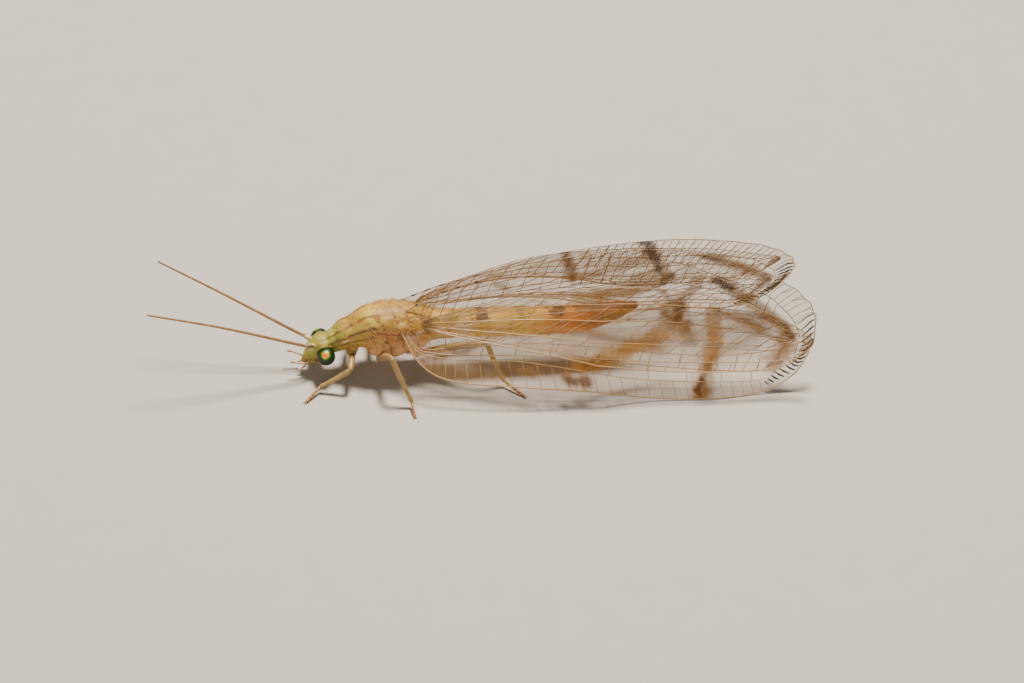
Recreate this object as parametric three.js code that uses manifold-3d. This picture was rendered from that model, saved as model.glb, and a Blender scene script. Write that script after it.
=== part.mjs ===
// A green lacewing at rest, life size: a still model of the whole insect.
// Millimetres, +Z up. The head looks along -X, the insect's left side is towards -Y, and the feet and
// the lower edges of the closed forewings rest on the floor at Z = 0. Each named mesh is one body part.
// The wings are closed like a roof: each forewing's front edge (the costa) is its lowest edge, and the
// hind edges of the two forewings meet above the back in a ridge.

import * as THREE from 'three';
import { mergeVertices } from 'three/addons/utils/BufferGeometryUtils.js';
import Module from 'manifold-3d';

const wasm = await Module();
wasm.setup();

// Gaps and least thicknesses
const GAP = 0.3;              // between two parts that touch on the insect
const WING_GAP = 0.25;        // between a forewing and the hind wing under it
const WING_THICK = 0.46;      // forewing sheet
const HIND_THICK = 0.42;      // hind wing sheet
const EDGE_THICK = 0.34;      // both, along the hind edge at the ridge
const TIP_THICK = 0.3;        // both, at the tip
const VEIN_RISE = 0.12;       // height of the raised veins

// Trunk: [x, height of the axis, half width, half height] from the neck to the abdomen's tip
const TRUNK = [
  [-1.85, 1.26, 0.46, 0.42],
  [-1.45, 1.60, 0.60, 0.60],
  [-1.05, 1.78, 0.72, 0.77],
  [-0.50, 1.84, 0.82, 0.88],
  [0.20, 1.84, 0.83, 0.88],
  [0.75, 1.83, 0.68, 0.76],
  [1.30, 1.82, 0.52, 0.60],
  [1.80, 1.80, 0.45, 0.50],
  [2.80, 1.78, 0.44, 0.49],
  [4.30, 1.76, 0.44, 0.49],
  [6.00, 1.76, 0.42, 0.47],
  [7.20, 1.88, 0.36, 0.41],
  [8.15, 2.08, 0.25, 0.28],
];
const LENGTHS = {
  prothorax: [-1.85, -1.2],
  mesothorax: [-1.2 + GAP, 0.35],
  metathorax: [0.35 + GAP, 1.3],
  abdomen_front: [1.3 + GAP, 3.7],
  abdomen_middle: [3.7 + GAP, 6.0],
  abdomen_tip: [6.0 + GAP, 8.15],
};
const ABDOMEN_RING = 0.82;    // length of one abdomen segment
const RING_DEPTH = 0.05;      // how far the rings pinch in, as a share of the radius
const BACK_GROOVE = 0.06;     // the same for the groove along the middle of the thorax's back
const GROOVE_WIDTH = 0.05;    // how wide that groove is, as a share of the half turn round the body
const TRUNK_SIDES = 18;
const THORAX_STEP = 0.12;     // spacing of the rings of points along the thorax
const ABDOMEN_STEP = 0.16;    // the same along the abdomen
const SOFT_END = 0.06;        // over what length a part's end is rounded off
const NECK_END = 0.12;        // the same at the neck
const TAIL_END = 0.3;         // the same at the abdomen's tip
const END_FACE = 0.12;        // how much of a rounded end stays flat: the square of its share of the radius

// Head
const HEAD = [
  [-2.90, 0.98, 0.26, 0.24],
  [-2.68, 1.00, 0.44, 0.42],
  [-2.38, 1.03, 0.50, 0.50],
  [-2.13, 1.10, 0.44, 0.46],
];
const EYE_CENTRE = new THREE.Vector3(-2.38, 0.54, 1.01);
const EYE_RADIUS = 0.3;
const EYE_BULGE = 0.3;        // how far the dome stands out from its rim
const EYE_RIM = 0.1;          // thickness of the eye behind its rim
const EYE_GAP = 0.14;         // round the eye in its socket
const SOCKET_DEPTH = 0.6;
const HEAD_FORM = { from: -2.9, to: -2.13, rings: 10, sides: 24, front: 0.3, back: SOFT_END };
// The snout and, on the right side, the two pairs of palps: where each runs, and its radius at both ends
const SNOUT = { path: [[-2.62, 0, 0.85], [-2.86, 0, 0.62], [-3.0, 0, 0.36]], radii: [0.3, 0.16] };
const PALPS = [
  { path: [[-2.8, 0.1, 0.62], [-3.15, 0.27, 0.5], [-3.55, 0.3, 0.66]], radii: [0.12, 0.07] },
  { path: [[-2.85, 0.08, 0.5], [-3.02, 0.2, 0.3], [-3.2, 0.2, 0.14]], radii: [0.1, 0.06] },
];

// Feelers: where they start, bend and end on the left side and on the right side
const FEELER_BASE = new THREE.Vector3(-2.72, 0.22, 1.22);
const FEELER_BEND = new THREE.Vector3(-3.25, 0.44, 1.48);
const LEFT_TIP = new THREE.Vector3(-8.8, 0.75, 3.3);
const RIGHT_TIP = new THREE.Vector3(-8.0, 1.6, 3.66);
const FEELER_BOW = 0.06;      // how far the feelers arch above a straight line
const SCAPE = { radius: 0.13, growth: 1.1, end: 0.1 };  // the first joint: thin at the head, then wider
const WHIP = { radius: 0.24, tip: 0.08, taper: 1.1 };   // the rest, which tapers only near its tip

// Legs: hip, knee, ankle and toe of each pair, as distances out to the leg's own side. The right legs
// are drawn up nearer to the body than the left ones.
const LEGS = {
  left: {
    fore: [[-1.35, 0.3, 1.35], [-1.72, 1.25, 0.98], [-2.64, 1.25, 0.27], [-3.2, 1.68, 0.14]],
    mid: [[-0.35, 0.45, 1.45], [-0.48, 1.72, 1.74], [0.2, 2.24, 0.27], [0.3, 2.68, 0.14]],
    hind: [[0.95, 0.35, 1.1], [2.66, 0.95, 1.24], [3.66, 1.36, 0.27], [4.25, 1.89, 0.14]],
  },
  right: {
    fore: [[-1.35, 0.3, 1.35], [-1.18, 1.2, 1.2], [-0.72, 1.72, 0.27], [-0.48, 2.2, 0.14]],
    mid: [[-0.3, 0.45, 1.4], [-0.22, 1.6, 1.38], [0.42, 2.26, 0.27], [0.56, 2.68, 0.14]],
    hind: [[0.95, 0.35, 1.1], [2.66, 0.95, 1.24], [3.66, 1.36, 0.27], [4.25, 1.89, 0.14]],
  },
};
const THIGH = 0.27;
const SHIN = 0.25;
const FOOT = 0.2;
const KNEE_AT = 0.45;         // how far along the leg the shin's radius starts, as a share of the leg
const ANKLE_AT = 0.8;

// Forewing edges on the right side: the hind edge (ridge) and the front edge (costa), paired from the
// root to the tip
const RIDGE_Y = 0.46;
const HIND_EDGE = [
  [0.35, 0.72, 2.66], [1.25, 0.68, 3.02], [2.7, 0.5, 3.58], [4.6, RIDGE_Y, 4.2], [6.9, RIDGE_Y, 4.6],
  [9.2, RIDGE_Y, 4.72], [11.1, 0.62, 4.36], [12.75, 0.88, 3.76], [13.85, 1.2, 3.08], [14.2, 1.45, 2.45],
];
const FRONT_EDGE = [
  [0.1, 0.9, 2.25], [0.62, 1.66, 1.5], [1.75, 2.1, 1.08], [3.9, 2.42, 0.92], [6.3, 2.58, 0.66],
  [8.6, 2.38, 0.1], [10.7, 2.48, 0], [12.4, 2.3, 0.02], [13.55, 2.12, 0.68], [14.15, 1.77, 1.72],
];
const WING_BULGE = 0.42;      // how far the sheet arches out between its two edges
const BULGE_START = 0.12;     // share of the full arch's run that the root already has
const SCALLOP = { depth: 0.05, waves: 70, from: 0.55, reach: 6 };  // the wavy hind edge near the tip
const TIP_CROWDING = 1.12;    // crowds the columns of points towards the tip
const EDGE_REACH = 4;         // the edge's thickness grows to the sheet's over 1/4 of the way across
const TIP_REACH = 3;          // how fast a tip's thickness grows to the sheet's

// Hind wing: the stretch of the forewing's surface that it lies under, along and across
const HIND_START = 0.12;
const HIND_END = 0.93;
const HIND_TOP = 0.25;
const HIND_BOTTOM = 0.8;
// Its outline: narrow at the root, round at the tip, and near the root it lies nearer to the ridge
const HIND_OUTLINE = { root: 0.1, opening: 2.2, tip: 0.04, roundness: 5, rootMiddle: 0.36, rise: 2.5 };

const COLOURS = {
  head: 0x9a9a3c, thorax: 0xc79a5e, abdomen: 0xd8cf7a, abdomen_tip: 0xc9803a, eye: 0x2f5a3a,
  feeler: 0x9b7a4a, leg: 0xcdb57a, wing: 0xcfc6a8,
};
const material = (name) => new THREE.MeshStandardMaterial({ color: COLOURS[name], roughness: 0.5 });

// Smooth values between rows of numbers, with t from 0 at the first row to 1 at the last
function along(rows, t) {
  const s = Math.min(Math.max(t, 0), 1) * (rows.length - 1);
  const i = Math.min(Math.floor(s), rows.length - 2);
  const f = s - i;
  const row = (j) => rows[Math.min(Math.max(j, 0), rows.length - 1)];
  return rows[0].map((_, c) => {
    const [a, b, d, e] = [row(i - 1)[c], row(i)[c], row(i + 1)[c], row(i + 2)[c]];
    return 0.5 * (2 * b + (d - a) * f + (2 * a - 5 * b + 4 * d - e) * f * f + (3 * b - a - 3 * d + e) * f ** 3);
  });
}

// The same rows read at a given value of their first column
function alongX(rows, x) {
  let low = 0;
  let high = 1;
  for (let i = 0; i < 40; i++) {
    const mid = (low + high) / 2;
    if (along(rows, mid)[0] < x) low = mid;
    else high = mid;
  }
  return along(rows, low);
}

function geometry(points, triangles) {
  const g = new THREE.BufferGeometry();
  g.setAttribute('position', new THREE.BufferAttribute(new Float32Array(points.flat()), 3));
  g.setIndex(triangles.flat());
  return g;
}

// A closed skin over rings of points, with a point at each end
function skin(rings, first, last) {
  const sides = rings[0].length;
  const points = [...rings.flat(), first, last];
  const head = rings.length * sides;
  const triangles = [];
  for (let i = 0; i < rings.length - 1; i++) {
    for (let j = 0; j < sides; j++) {
      const a = i * sides + j;
      const b = i * sides + (j + 1) % sides;
      triangles.push([a, b, a + sides], [b, b + sides, a + sides]);
    }
  }
  const end = (rings.length - 1) * sides;
  for (let j = 0; j < sides; j++) {
    const k = (j + 1) % sides;
    triangles.push([k, j, head], [end + j, end + k, head + 1]);
  }
  return geometry(points, triangles);
}

// How much of its radius a rounded end has left at a distance from its face
const roundedEnd = (distance, length) => (length
  ? Math.min(1, Math.sqrt(Math.max(END_FACE, 1 - Math.max(0, 1 - distance / length) ** 2)))
  : 1);

// Part of the body whose cross sections stand upright: rows give x, height, half width, half height.
// grow makes it larger all round, for cutting others clear of it. front and back round off its ends.
function bodyForm(rows, { from, to, rings, sides = 20, grow = 0, front = 0, back = 0, shape = null }) {
  const low = from - grow;
  const high = to + grow;
  const list = [];
  for (let i = 0; i <= rings; i++) {
    const s = i / rings;
    const x = low + (high - low) * s;
    const [, z, w, h] = alongX(rows, Math.min(Math.max(x, rows[0][0]), rows.at(-1)[0]));
    const rim = roundedEnd(x - low, front) * roundedEnd(high - x, back);
    const ring = [];
    for (let j = 0; j < sides; j++) {
      const a = 2 * Math.PI * j / sides;
      const k = rim * (shape ? shape(x, a) : 1);
      ring.push([x, -(w * k + grow) * Math.sin(a), z + (h * k + grow) * Math.cos(a)]);
    }
    list.push(ring);
  }
  const [, z0] = alongX(rows, Math.max(low, rows[0][0]));
  const [, z1] = alongX(rows, Math.min(high, rows.at(-1)[0]));
  return skin(list, [low, 0, z0], [high, 0, z1]);
}

// A round limb along a path: radius is a function of the share of the way. Nothing sinks below the floor.
function limb(path, radius, { sides = 8, steps = 26, floor = true } = {}) {
  const curve = new THREE.CatmullRomCurve3(path, false, 'centripetal');
  const frames = curve.computeFrenetFrames(steps, false);
  const rings = [];
  for (let i = 0; i <= steps; i++) {
    const t = i / steps;
    const centre = curve.getPointAt(t);
    const ring = [];
    for (let j = 0; j < sides; j++) {
      const a = 2 * Math.PI * (j + 0.5) / sides;
      const p = centre.clone()
        .addScaledVector(frames.normals[i], radius(t) * Math.cos(a))
        .addScaledVector(frames.binormals[i], radius(t) * Math.sin(a));
      ring.push([p.x, p.y, floor ? Math.max(p.z, 0) : p.z]);
    }
    rings.push(ring);
  }
  return skin(rings, curve.getPointAt(0).toArray(), curve.getPointAt(1).toArray());
}

// Closed meshes as solids, for joining and cutting
function solid(g) {
  const merged = mergeVertices(g, 1e-5);
  return new wasm.Manifold(new wasm.Mesh({
    numProp: 3,
    vertProperties: new Float32Array(merged.attributes.position.array),
    triVerts: new Uint32Array(merged.index.array),
  }));
}

// The largest closed surface of a solid, as a geometry
function largest(body) {
  const pieces = body.decompose().sort((a, b) => b.volume() - a.volume());
  const mesh = pieces[0].getMesh();
  const g = new THREE.BufferGeometry();
  g.setAttribute('position', new THREE.BufferAttribute(new Float32Array(mesh.vertProperties), 3));
  g.setIndex(new THREE.BufferAttribute(new Uint32Array(mesh.triVerts), 1));
  return g;
}

const cutClear = (g, ...others) => largest(others.reduce((body, o) => body.subtract(solid(o)), solid(g)));
const joined = (...parts) => largest(parts.map(solid).reduce((a, b) => a.add(b)));

// The same form on the insect's left side
function mirrored(g) {
  const m = g.clone();
  const p = m.attributes.position;
  for (let i = 0; i < p.count; i++) p.setY(i, -p.getY(i));
  const index = m.index.array;
  for (let i = 0; i < index.length; i += 3) [index[i], index[i + 1]] = [index[i + 1], index[i]];
  return m;
}

// Trunk nodes from one profile, parted by thin gaps
function pinch(x, a) {
  if (x > LENGTHS.abdomen_front[0]) {
    return 1 - RING_DEPTH * Math.abs(Math.cos(Math.PI * (x - LENGTHS.abdomen_front[0]) / ABDOMEN_RING)) ** 4;
  }
  return 1 - BACK_GROOVE * Math.exp(-(1 - Math.cos(a)) / GROOVE_WIDTH);
}
const trunk = (name, grow = 0) => {
  const [from, to] = LENGTHS[name];
  const rings = Math.round((to - from) / (name.startsWith('abdomen') ? ABDOMEN_STEP : THORAX_STEP));
  return bodyForm(TRUNK, {
    from, to, rings, sides: TRUNK_SIDES, grow, shape: pinch,
    front: name === 'prothorax' ? NECK_END : SOFT_END, back: name === 'abdomen_tip' ? TAIL_END : SOFT_END,
  });
};

// Head with sockets for the eyes, a short snout and two pairs of palps
function headForm() {
  const capsule = bodyForm(HEAD, HEAD_FORM);
  const tapered = ({ path, radii }, side, detail) => limb(
    path.map(([x, y, z]) => new THREE.Vector3(x, y * side, z)), (t) => radii[0] + (radii[1] - radii[0]) * t, detail,
  );
  const snout = tapered(SNOUT, 1, { sides: 12, steps: 6 });
  const palps = [-1, 1].flatMap((side) => PALPS.map((palp) => tapered(palp, side, { sides: 8, steps: 8 })));
  const whole = joined(capsule, snout, ...palps);
  const sockets = [-1, 1].map((side) => {
    const socket = new THREE.CylinderGeometry(EYE_RADIUS + EYE_GAP, EYE_RADIUS + EYE_GAP, SOCKET_DEPTH, 24);
    socket.deleteAttribute('normal');
    socket.deleteAttribute('uv');
    const inner = EYE_CENTRE.y - EYE_RIM - EYE_GAP;
    socket.translate(EYE_CENTRE.x, side * (inner + SOCKET_DEPTH / 2), EYE_CENTRE.z);
    return socket;
  });
  return cutClear(whole, ...sockets);
}

// An eye: a dome on a short rim, facing sideways
function eyeForm() {
  const rings = [];
  const steps = 6;
  const sides = 20;
  for (let i = 0; i <= steps; i++) {
    const a = (Math.PI / 2) * (i / (steps + 1));
    const r = EYE_RADIUS * Math.cos(a);
    const y = EYE_CENTRE.y + (i ? EYE_BULGE * Math.sin(a) : -EYE_RIM);
    const ring = [];
    for (let j = 0; j < sides; j++) {
      const b = 2 * Math.PI * j / sides;
      ring.push([EYE_CENTRE.x + r * Math.cos(b), y, EYE_CENTRE.z - r * Math.sin(b)]);
    }
    rings.push(ring);
  }
  return skin(rings, [EYE_CENTRE.x, EYE_CENTRE.y - EYE_RIM, EYE_CENTRE.z],
    [EYE_CENTRE.x, EYE_CENTRE.y + EYE_BULGE, EYE_CENTRE.z]);
}

// A feeler: thin at the scape, full in the middle and fine at the tip
function feelerForm(tip) {
  const half = FEELER_BEND.clone().lerp(tip, 0.5);
  half.z += FEELER_BOW;
  const radius = (t) => (t < SCAPE.end
    ? SCAPE.radius + t * SCAPE.growth
    : Math.min(WHIP.radius, WHIP.tip + (1 - t) * WHIP.taper));
  return limb([FEELER_BASE, FEELER_BEND, half, tip], radius, { steps: 30 });
}

function legForm([hip, knee, ankle, toe]) {
  const path = [hip, knee, ankle, toe].map((p) => new THREE.Vector3(...p));
  const radius = (t) => {
    if (t < KNEE_AT) return THIGH;
    return t < ANKLE_AT ? SHIN : SHIN + (FOOT - SHIN) * (t - ANKLE_AT) / (1 - ANKLE_AT);
  };
  return limb(path, radius);
}

// Forewing surface: u runs from root to tip, v from the hind edge to the front edge
function wingPoint(u, v) {
  const hind = new THREE.Vector3(...along(HIND_EDGE, u));
  const front = new THREE.Vector3(...along(FRONT_EDGE, u));
  const chord = front.clone().sub(hind);
  const out = new THREE.Vector3(1, 0, 0).cross(chord).normalize().negate();
  const scallop = SCALLOP.depth * Math.sin(u * SCALLOP.waves) * Math.max(0, u - SCALLOP.from) * 2
    * (1 - v) ** SCALLOP.reach;
  const bulge = WING_BULGE * 4 * v * (1 - v) * Math.sin(Math.PI * Math.min(1, BULGE_START + u)) ** 0.6;
  const p = hind.addScaledVector(chord, v + scallop / chord.length()).addScaledVector(out, bulge);
  p.z = Math.max(p.z, 0);
  return p;
}

function wingNormal(u, v) {
  const d = 0.004;
  const du = wingPoint(Math.min(u + d, 1), v).sub(wingPoint(Math.max(u - d, 0), v));
  const dv = wingPoint(u, Math.min(v + d, 1)).sub(wingPoint(u, Math.max(v - d, 0)));
  return dv.cross(du).normalize();
}

// A thin closed sheet from a grid of outer and inner points, split alike on both faces
function sheet(columns, rows, outer, inner) {
  const points = [];
  for (const face of [outer, inner]) {
    for (let i = 0; i < columns; i++) {
      for (let j = 0; j < rows; j++) points.push(face(i, j).toArray());
    }
  }
  const at = (k, i, j) => k * columns * rows + i * rows + j;
  const triangles = [];
  for (let i = 0; i < columns - 1; i++) {
    for (let j = 0; j < rows - 1; j++) {
      const [a, b, c, d] = [at(0, i, j), at(0, i + 1, j), at(0, i + 1, j + 1), at(0, i, j + 1)];
      const [e, f, g, h] = [at(1, i, j), at(1, i + 1, j), at(1, i + 1, j + 1), at(1, i, j + 1)];
      triangles.push([a, c, b], [a, d, c], [e, f, g], [e, g, h]);
    }
  }
  const border = [];
  for (let i = 0; i < columns - 1; i++) border.push([[i, 0], [i + 1, 0]]);
  for (let j = 0; j < rows - 1; j++) border.push([[columns - 1, j], [columns - 1, j + 1]]);
  for (let i = columns - 1; i > 0; i--) border.push([[i, rows - 1], [i - 1, rows - 1]]);
  for (let j = rows - 1; j > 0; j--) border.push([[0, j], [0, j - 1]]);
  for (const [[i, j], [k, l]] of border) {
    triangles.push([at(0, i, j), at(0, k, l), at(1, k, l)], [at(0, i, j), at(1, k, l), at(1, i, j)]);
  }
  return geometry(points, triangles);
}

// Lines of the veins that run along a wing, as shares of the way from the hind edge to the front edge
const FORE_VEINS = [
  () => 0,
  () => 0.13,
  (u) => 0.38 - 0.04 * u,
  (u) => 0.6 + 0.04 * u,
  (u) => 0.74 + 0.19 * Math.min(1, u * 1.3),
  () => 1,
];
const HIND_VEINS = [() => 0, () => 0.16, () => 0.45, () => 0.7, (u) => 0.86 + 0.06 * u, () => 1];

// Rows of a wing's grid: each long vein, with plain rows between
function wingRows(veins, between, u) {
  const rows = [];
  veins.forEach((vein, k) => {
    rows.push({ v: vein(u), vein: true, field: k });
    if (k === veins.length - 1) return;
    for (let i = 1; i <= between[k]; i++) {
      const v = vein(u) + (veins[k + 1](u) - vein(u)) * i / (between[k] + 1);
      rows.push({ v, vein: false, field: k });
    }
  });
  return rows;
}

// Cross-veins stand on every second column in the edge fields and on every fourth one inside
function raised(row, i, last, count) {
  if (i === 0 || i === last) return false;
  const outer = row.field === 0 || row.field >= count - 2;
  return row.vein || (outer ? i % 2 === 0 : i % 4 === 2);
}

function forewingForm() {
  const columns = 40;
  const between = [1, 1, 1, 1, 1];
  const count = wingRows(FORE_VEINS, between, 0).length;
  const grid = (i, j) => {
    const u = 1 - (1 - i / (columns - 1)) ** TIP_CROWDING;
    return { u, row: wingRows(FORE_VEINS, between, u)[j] };
  };
  const outer = (i, j) => {
    const { u, row } = grid(i, j);
    const rise = raised(row, i, columns - 1, FORE_VEINS.length) ? VEIN_RISE : 0;
    const p = wingPoint(u, row.v).addScaledVector(wingNormal(u, row.v), rise);
    p.z = Math.max(p.z, 0);
    return p;
  };
  const inner = (i, j) => {
    const { u, row } = grid(i, j);
    const edge = EDGE_THICK + (WING_THICK - EDGE_THICK) * Math.min(1, row.v * EDGE_REACH);
    const t = Math.min(edge, TIP_THICK + (1 - u) * TIP_REACH);
    const p = wingPoint(u, row.v).addScaledVector(wingNormal(u, row.v), -t);
    p.z = Math.max(p.z, 0);
    return p;
  };
  return sheet(columns, count, outer, inner);
}

function hindwingForm() {
  const columns = 32;
  const between = [1, 1, 1, 0, 0];
  const count = wingRows(HIND_VEINS, between, 0).length;
  const place = (i, j, depth) => {
    const { root, opening, tip, roundness, rootMiddle, rise } = HIND_OUTLINE;
    const s = 1 - (1 - i / (columns - 1)) ** TIP_CROWDING;
    const row = wingRows(HIND_VEINS, between, s)[j];
    const u = HIND_START + (HIND_END - HIND_START) * s;
    const open = Math.sqrt(Math.min(1, root + s * opening)) * Math.sqrt(Math.max(tip, 1 - s ** roundness));
    const middle = rootMiddle + ((HIND_TOP + HIND_BOTTOM) / 2 - rootMiddle) * Math.min(1, s * rise);
    const v = middle + (row.v - 0.5) * (HIND_BOTTOM - HIND_TOP) * open;
    const inset = WING_THICK + WING_GAP + VEIN_RISE + depth(s, row);
    return wingPoint(u, v).addScaledVector(wingNormal(u, v), -inset);
  };
  const outer = (i, j) => place(i, j, (s, row) => (
    raised(row, i, columns - 1, HIND_VEINS.length) ? -VEIN_RISE : 0));
  const inner = (i, j) => place(i, j, (s) => Math.min(HIND_THICK, TIP_THICK + (1 - s) * TIP_REACH));
  return sheet(columns, count, outer, inner);
}

const group = new THREE.Group();
function add(name, g, colour) {
  const clean = g.clone();
  clean.computeVertexNormals();
  const mesh = new THREE.Mesh(clean, material(colour));
  mesh.name = name;
  group.add(mesh);
}

add('head', headForm(), 'head');
for (const name of Object.keys(LENGTHS)) {
  add(name, trunk(name), name === 'abdomen_tip' ? 'abdomen_tip' : name.startsWith('abdomen') ? 'abdomen' : 'thorax');
}
const grownHead = bodyForm(HEAD, { ...HEAD_FORM, grow: GAP * 0.8, back: 0 });
// the lengths that wings and legs pass close to
const NEAR_LIMBS = ['prothorax', 'mesothorax', 'metathorax', 'abdomen_front'];
const grownTrunk = NEAR_LIMBS.map((name) => trunk(name, GAP));
const eye = eyeForm();
const feelers = { left: feelerForm(LEFT_TIP), right: feelerForm(RIGHT_TIP) };
const wings = { forewing: forewingForm(), hindwing: hindwingForm() };
for (const side of ['left', 'right']) {
  const placed = (g) => (side === 'left' ? mirrored(g) : g);
  add(`eye_${side}`, placed(eye), 'eye');
  add(`antenna_${side}`, placed(cutClear(feelers[side], grownHead)), 'feeler');
  for (const [name, g] of Object.entries(wings)) {
    add(`${name}_${side}`, placed(cutClear(g, ...grownTrunk)), 'wing');
  }
  for (const [pair, joints] of Object.entries(LEGS[side])) {
    add(`${pair}_leg_${side}`, placed(cutClear(legForm(joints), ...grownTrunk)), 'leg');
  }
}

// The origin is under the middle of the whole insect, on the floor
const box = new THREE.Box3().setFromObject(group);
const middle = box.getCenter(new THREE.Vector3());
group.position.set(-middle.x, -middle.y, -box.min.z);

export default group;
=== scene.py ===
# %% [markdown]
# # A green lacewing at rest
# The solids of the frame carry the insect's true pose and size. This lesson dresses them: one smooth skin
# over head, thorax and abdomen, glassy wings with their veins, jointed legs and feelers, eyes and hairs.

# %% Load the frame
import math
import random

import bpy
from mathutils import Matrix, Vector
from mathutils.kdtree import KDTree


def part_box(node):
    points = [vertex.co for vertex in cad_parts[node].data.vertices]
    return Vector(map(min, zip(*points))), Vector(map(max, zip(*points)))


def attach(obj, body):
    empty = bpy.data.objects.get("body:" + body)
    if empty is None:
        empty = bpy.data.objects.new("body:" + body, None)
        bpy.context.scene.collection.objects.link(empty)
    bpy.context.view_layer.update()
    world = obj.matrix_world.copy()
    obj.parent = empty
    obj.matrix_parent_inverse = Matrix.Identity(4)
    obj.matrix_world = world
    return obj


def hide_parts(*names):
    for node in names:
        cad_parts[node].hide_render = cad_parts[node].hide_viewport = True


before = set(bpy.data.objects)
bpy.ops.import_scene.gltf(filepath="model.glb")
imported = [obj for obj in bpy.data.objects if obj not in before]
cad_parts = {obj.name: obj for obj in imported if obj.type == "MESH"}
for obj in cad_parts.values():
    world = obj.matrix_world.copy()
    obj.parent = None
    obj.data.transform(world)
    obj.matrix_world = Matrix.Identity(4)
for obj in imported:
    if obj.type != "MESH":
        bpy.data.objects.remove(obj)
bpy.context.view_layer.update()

print("nodes in the frame:", len(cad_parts))

# %% [markdown]
# ## Working at the insect's scale
# A lacewing is so small that metres are awkward: modifiers have least sizes, and doubles merge too
# early. So each piece is modelled with one unit to the millimetre, in the insect's own place, and is
# brought to metres at the end. The eye's centre in the frame says how far the insect has to move.

# %% Scale, place and small helpers
MM = 0.001
EYE = Vector((-2.38, 0.54, 1.01))
SIDES = {"left": -1, "right": 1}
eye_boxes = [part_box(f"eye_{side_name}") for side_name in SIDES]
between_eyes = sum(((low + high) / 4 for low, high in eye_boxes), Vector()) / MM
MOVE = Vector((between_eyes.x - EYE.x, between_eyes.y, 0))
rng = random.Random(7)


def deselect():
    if bpy.context.object and bpy.context.object.mode != "OBJECT":
        bpy.ops.object.mode_set(mode="OBJECT")
    bpy.ops.object.select_all(action="DESELECT")


def only(obj):
    deselect()
    obj.select_set(True)
    bpy.context.view_layer.objects.active = obj


def apply_all(obj):
    only(obj)
    for modifier in list(obj.modifiers):
        bpy.ops.object.modifier_apply(modifier=modifier.name)


def join(name, objects):
    deselect()
    for piece in objects:
        piece.select_set(True)
    bpy.context.view_layer.objects.active = objects[0]
    bpy.ops.object.join()
    made = bpy.context.object
    made.name = made.data.name = name
    return made


def face_outwards(obj):
    only(obj)
    bpy.ops.object.mode_set(mode="EDIT")
    bpy.ops.mesh.select_all(action="SELECT")
    bpy.ops.mesh.normals_make_consistent(inside=False)
    bpy.ops.object.mode_set(mode="OBJECT")


def place_in_mesh(obj):
    only(obj)
    bpy.ops.object.transform_apply(location=True, rotation=True, scale=True)
    return obj


def settle(obj, material, replaces=()):
    """Give a piece its finish, bring it from millimetres to the frame, and let it ride on the body."""
    obj.data.materials.append(material)
    place_in_mesh(obj)
    obj.data.transform(Matrix.Scale(MM, 4) @ Matrix.Translation(MOVE))
    obj.data.polygons.foreach_set("use_smooth", [True] * len(obj.data.polygons))
    obj.data.update()
    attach(obj, "root")
    if replaces:
        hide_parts(*replaces)
    print(f"{obj.name}: {len(obj.data.polygons)} faces")


def spread(start, width, count):
    """Even steps over a width."""
    return [start + width * i / (count - 1) for i in range(count)]


def along(rows, t):
    """Smooth values between rows of numbers, with t from 0 at the first row to 1 at the last."""
    s = min(max(t, 0.0), 1.0) * (len(rows) - 1)
    i = min(int(s), len(rows) - 2)
    f = s - i
    a, b, d, e = (rows[min(max(j, 0), len(rows) - 1)] for j in (i - 1, i, i + 1, i + 2))
    return [0.5 * (2 * q + (r - p) * f + (2 * p - 5 * q + 4 * r - w) * f * f
                   + (3 * q - p - 3 * r + w) * f ** 3) for p, q, r, w in zip(a, b, d, e)]


def at_x(rows, x):
    """The same rows read at a given value of their first column."""
    low_t, high_t = 0.0, 1.0
    for _ in range(40):
        t = (low_t + high_t) / 2
        if along(rows, t)[0] < x:
            low_t = t
        else:
            high_t = t
    return along(rows, low_t)


print("one unit is a millimetre; the insect moves by", round(MOVE.x, 3))

# %% [markdown]
# ## The camera
# The photo is a close-up from the insect's left and front, looking down at 38 degrees, taken from far
# enough that near and far look almost equally large. It is a little rolled to the right.

# %% Camera
ELEVATION = math.radians(38.0)
TURN = math.radians(19.4)
ROLL = math.radians(9.7)
DISTANCE = 320.0
PIXELS_PER_MM = 30.0
FRAME_WIDTH = 1024
AIM = Vector((0, 0, 1.81))
AIM_OFFSET = Vector((-3.9, 0.55))

away = Vector((math.sin(TURN), math.cos(TURN), 0))
level = Vector((math.cos(TURN), -math.sin(TURN), 0))
upward = math.sin(ELEVATION) * away + Vector((0, 0, math.cos(ELEVATION)))
forward = math.cos(ELEVATION) * away - Vector((0, 0, math.sin(ELEVATION)))
right = math.cos(ROLL) * level + math.sin(ROLL) * upward
up = -math.sin(ROLL) * level + math.cos(ROLL) * upward
eye_point = AIM + MOVE - DISTANCE * forward - AIM_OFFSET.x * right - AIM_OFFSET.y * up

bpy.ops.object.camera_add()
camera = bpy.context.object
camera.name = "camera"
camera.matrix_world = Matrix.Translation(eye_point * MM) @ Matrix((right, up, -forward)).transposed().to_4x4()
camera.data.sensor_width = 36.0
camera.data.lens = 36.0 * DISTANCE * PIXELS_PER_MM / FRAME_WIDTH
camera.data.clip_start = 0.01
camera.data.clip_end = 10.0
bpy.context.scene.camera = camera
print("camera lens", round(camera.data.lens, 1))

# %% [markdown]
# ## Shader maths as arithmetic
# A material is a web of nodes. Wrapping a socket in a small class lets the web be written as sums and
# products. One method makes every other kind of node.

# %% The wire class


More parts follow.
